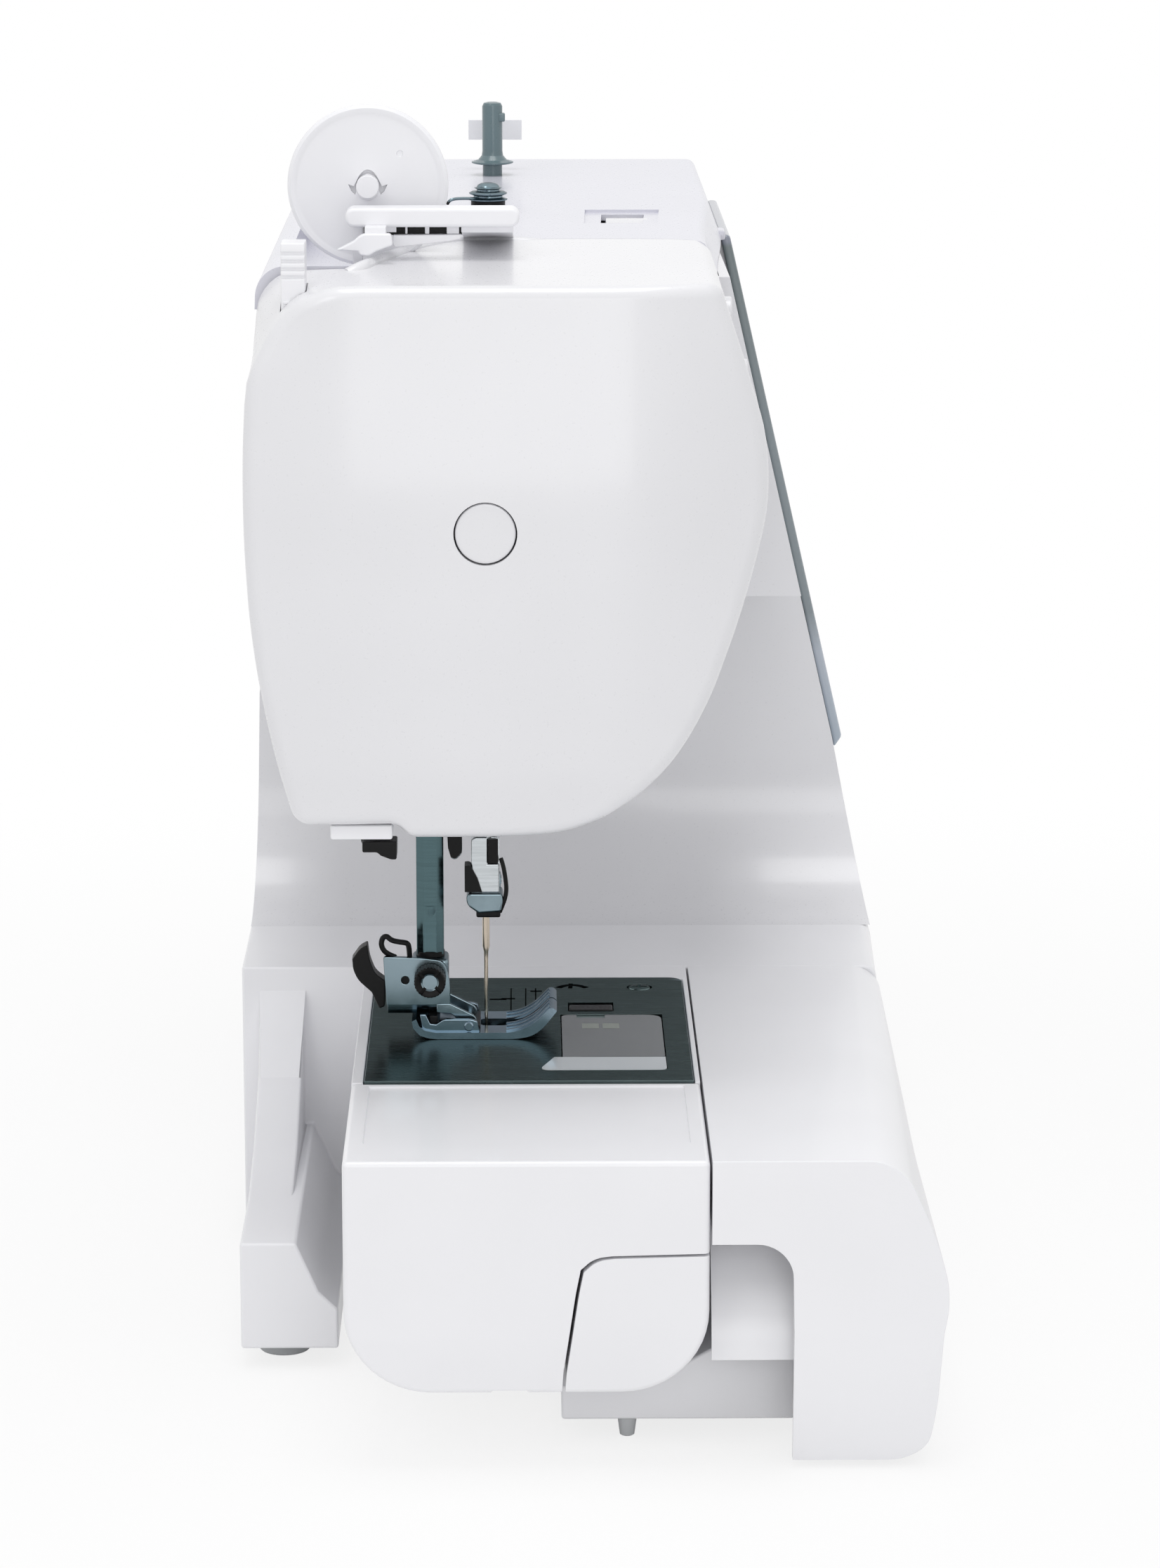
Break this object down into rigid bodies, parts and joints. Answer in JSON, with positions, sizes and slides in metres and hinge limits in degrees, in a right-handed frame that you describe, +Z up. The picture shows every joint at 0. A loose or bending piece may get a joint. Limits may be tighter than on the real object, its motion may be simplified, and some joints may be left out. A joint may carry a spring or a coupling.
{
  "type": "sewing machine",
  "caption": "Computerised free-arm sewing machine with a slide-off extension table, moving needle bar, presser foot, handwheel and controls.",
  "frame": {"origin": "middle of the machine's overall plan, on the surface it stands on", "axes": "+Z up; +X from the free end of the arm towards the handwheel; the user sits on the -Y side"},
  "size_m": [0.405, 0.189, 0.3343],
  "materials": {
    "cover_white": "satin moulded white",
    "table_white": "satin moulded white",
    "fascia_dark": "glossy tinted panel",
    "display_glass": "clear over grey",
    "needle_plate_steel": "fine brushed",
    "polished_steel": "polished",
    "plated_steel": "bright plated",
    "cast_aluminium": "as cast",
    "black_plastic": "matt black",
    "grey_plastic": "matt grey",
    "clear_plastic": "smoky clear",
    "white_plastic": "moulded white",
    "belt_rubber": "toothed rubber",
    "foot_rubber": "soft rubber",
    "board_green": "solder mask"
  },
  "bodies": {
    "machine": {"base_pan": "grey_plastic", "rubber_feet": "foot_rubber", "bed_cover": "cover_white", "column_cover": "cover_white", "arm_cover": "cover_white", "top_cover": "cover_white", "face_cover": "cover_white", "face_cap": "cover_white", "free_arm_cover": "cover_white", "arm_end_cap": "cover_white", "arm_corner_panel": "cover_white", "needle_plate": "needle_plate_steel", "plate_screws": "plated_steel", "cast_frame": "cast_aluminium", "fascia_panel": "fascia_dark", "display_window": "display_glass", "control_board": "board_green", "motor": "plated_steel", "motor_belt": "belt_rubber", "timing_belt": "belt_rubber", "bobbin_case": "black_plastic", "power_inlet": "black_plastic", "guide_bar": "white_plastic", "winder_tensioner": "polished_steel", "winder_stopper": "white_plastic", "thread_cutter": "white_plastic", "spool_pin": "white_plastic", "presser_spring": "plated_steel"},
    "upper_drive": {"handwheel": "cover_white", "main_shaft": "plated_steel"},
    "lower_drive": {"lower_shaft": "plated_steel"},
    "hook": {"hook_race": "plated_steel"},
    "motor_rotor": {"motor_pulley": "plated_steel"},
    "needle_carrier": {"needle_bar": "polished_steel", "needle_clamp": "plated_steel", "needle": "polished_steel", "connecting_rod": "cast_aluminium"},
    "clamp_screw_body": {"clamp_screw": "plated_steel"},
    "take_up": {"take_up_lever": "polished_steel"},
    "presser": {"presser_bar": "polished_steel", "foot_holder": "plated_steel"},
    "foot_screw_body": {"foot_screw": "plated_steel"},
    "foot_release": {"release_lever": "black_plastic"},
    "foot": {"presser_foot": "polished_steel"},
    "lifter": {"presser_lifter": "black_plastic"},
    "buttonhole": {"buttonhole_lever": "white_plastic"},
    "feed_carrier": {"feed_bar": "plated_steel"},
    "feed_teeth": {"feed_dog": "plated_steel"},
    "drop_feed": {"drop_feed_lever": "grey_plastic"},
    "hook_door": {"hook_cover": "clear_plastic"},
    "door_latch": {"hook_latch": "black_plastic"},
    "bobbin_body": {"bobbin": "clear_plastic"},
    "table": {"extension_table": "table_white"},
    "thread_cap": {"spool_cap": "white_plastic"},
    "winder": {"winder_spindle": "white_plastic"},
    "tension": {"tension_dial": "grey_plastic"},
    "power_rocker": {"power_switch": "black_plastic"},
    "start_key": {"start_button": "grey_plastic"},
    "reverse_key": {"reverse_button": "grey_plastic"},
    "speed_key": {"speed_slider": "grey_plastic"}
  },
  "joints": [
    {"name": "handwheel_turn", "type": "hinge", "parent": "machine", "child": "upper_drive", "pos_m": [0.1875, 0.0235, 0.25], "axis": [1, 0, 0], "continuous": true},
    {"name": "lower_shaft_turn", "type": "hinge", "parent": "machine", "child": "lower_drive", "pos_m": [0.0975, 0.0235, 0.041], "axis": [1, 0, 0], "continuous": true},
    {"name": "hook_turn", "type": "hinge", "parent": "machine", "child": "hook", "pos_m": [-0.0885, -0.0005, 0.056], "axis": [0, 0, 1], "continuous": true},
    {"name": "motor_turn", "type": "hinge", "parent": "machine", "child": "motor_rotor", "pos_m": [0.1235, -0.0325, 0.041], "axis": [1, 0, 0], "continuous": true},
    {"name": "needle_bar_slide", "type": "slide", "parent": "machine", "child": "needle_carrier", "axis": [0, 0, 1], "range_m": [-0.014, 0.017]},
    {"name": "clamp_screw_turn", "type": "hinge", "parent": "needle_carrier", "child": "clamp_screw_body", "pos_m": [-0.0765, 0.0235, 0.123], "axis": [1, 0, 0], "range_deg": [0, 360]},
    {"name": "take_up_swing", "type": "hinge", "parent": "machine", "child": "take_up", "pos_m": [-0.0705, -0.0035, 0.222], "axis": [-1, 0, 0], "range_deg": [-24, 28]},
    {"name": "presser_bar_slide", "type": "slide", "parent": "machine", "child": "presser", "axis": [0, 0, 1], "range_m": [0, 0.007], "deforming": ["presser_spring"]},
    {"name": "foot_screw_turn", "type": "hinge", "parent": "presser", "child": "foot_screw_body", "pos_m": [-0.0875, 0.0387, 0.0986], "axis": [1, 0, 0], "range_deg": [0, 360]},
    {"name": "release_lever_press", "type": "hinge", "parent": "presser", "child": "foot_release", "pos_m": [-0.0845, 0.0527, 0.0897], "axis": [-1, 0, 0], "range_deg": [0, 10]},
    {"name": "foot_tilt", "type": "hinge", "parent": "presser", "child": "foot", "pos_m": [-0.0805, 0.0395, 0.0866], "axis": [-1, 0, 0], "range_deg": [0, 10]},
    {"name": "lifter_turn", "type": "hinge", "parent": "machine", "child": "lifter", "pos_m": [-0.0705, 0.0525, 0.168], "axis": [1, 0, 0], "range_deg": [0, 70]},
    {"name": "buttonhole_lever_slide", "type": "slide", "parent": "machine", "child": "buttonhole", "axis": [0, 0, -1], "range_m": [0, 0.03]},
    {"name": "feed_drop_slide", "type": "slide", "parent": "machine", "child": "feed_carrier", "axis": [0, 0, -1], "range_m": [0, 0.003]},
    {"name": "feed_dog_slide", "type": "slide", "parent": "feed_carrier", "child": "feed_teeth", "axis": [0, 1, 0], "range_m": [-0.0016, 0.0016]},
    {"name": "drop_feed_lever_slide", "type": "slide", "parent": "machine", "child": "drop_feed", "axis": [1, 0, 0], "range_m": [0, 0.012]},
    {"name": "hook_cover_lift", "type": "slide", "parent": "machine", "child": "hook_door", "axis": [0, 0, 1], "range_m": [0, 0.025]},
    {"name": "hook_latch_slide", "type": "slide", "parent": "machine", "child": "door_latch", "axis": [1, 0, 0], "range_m": [0, 0.003]},
    {"name": "bobbin_turn", "type": "hinge", "parent": "machine", "child": "bobbin_body", "pos_m": [-0.0885, -0.0005, 0.066], "axis": [0, 0, 1], "continuous": true},
    {"name": "extension_table_slide", "type": "slide", "parent": "machine", "child": "table", "axis": [-1, 0, 0], "range_m": [0, 0.17]},
    {"name": "spool_cap_slide", "type": "slide", "parent": "machine", "child": "thread_cap", "axis": [-1, 0, 0], "range_m": [0, 0.008]},
    {"name": "winder_turn", "type": "hinge", "parent": "machine", "child": "winder", "pos_m": [0.1325, 0.0223, 0.3], "axis": [0, 0, 1], "continuous": true},
    {"name": "tension_dial_turn", "type": "hinge", "parent": "machine", "child": "tension", "pos_m": [0.0115, -0.0165, 0.2832], "axis": [0, 1, 0], "range_deg": [-150, 150]},
    {"name": "power_switch_rock", "type": "hinge", "parent": "machine", "child": "power_rocker", "pos_m": [0.1844, -0.0495, 0.048], "axis": [0, 1, 0], "range_deg": [-5, 5]},
    {"name": "start_button_push", "type": "slide", "parent": "machine", "child": "start_key", "axis": [0, 1, 0], "range_m": [0, 0.0015], "stiffness_N_per_m": 300},
    {"name": "reverse_button_push", "type": "slide", "parent": "machine", "child": "reverse_key", "axis": [0, 1, 0], "range_m": [0, 0.0015], "stiffness_N_per_m": 300},
    {"name": "speed_slider_slide", "type": "slide", "parent": "machine", "child": "speed_key", "axis": [1, 0, 0], "range_m": [0, 0.017]}
  ],
  "couplings": [
    {"joint": "lower_shaft_turn", "follows": "handwheel_turn", "ratio": 1},
    {"joint": "hook_turn", "follows": "handwheel_turn", "ratio": -2},
    {"joint": "motor_turn", "follows": "handwheel_turn", "ratio": 2.8571},
    {"joint": "take_up_swing", "follows": "needle_bar_slide", "rad_per_m": 28.2},
    {"joint": "lifter_turn", "follows": "presser_bar_slide", "rad_per_m": 174.5},
    {"joint": "feed_drop_slide", "follows": "drop_feed_lever_slide", "ratio": 0.25}
  ]
}
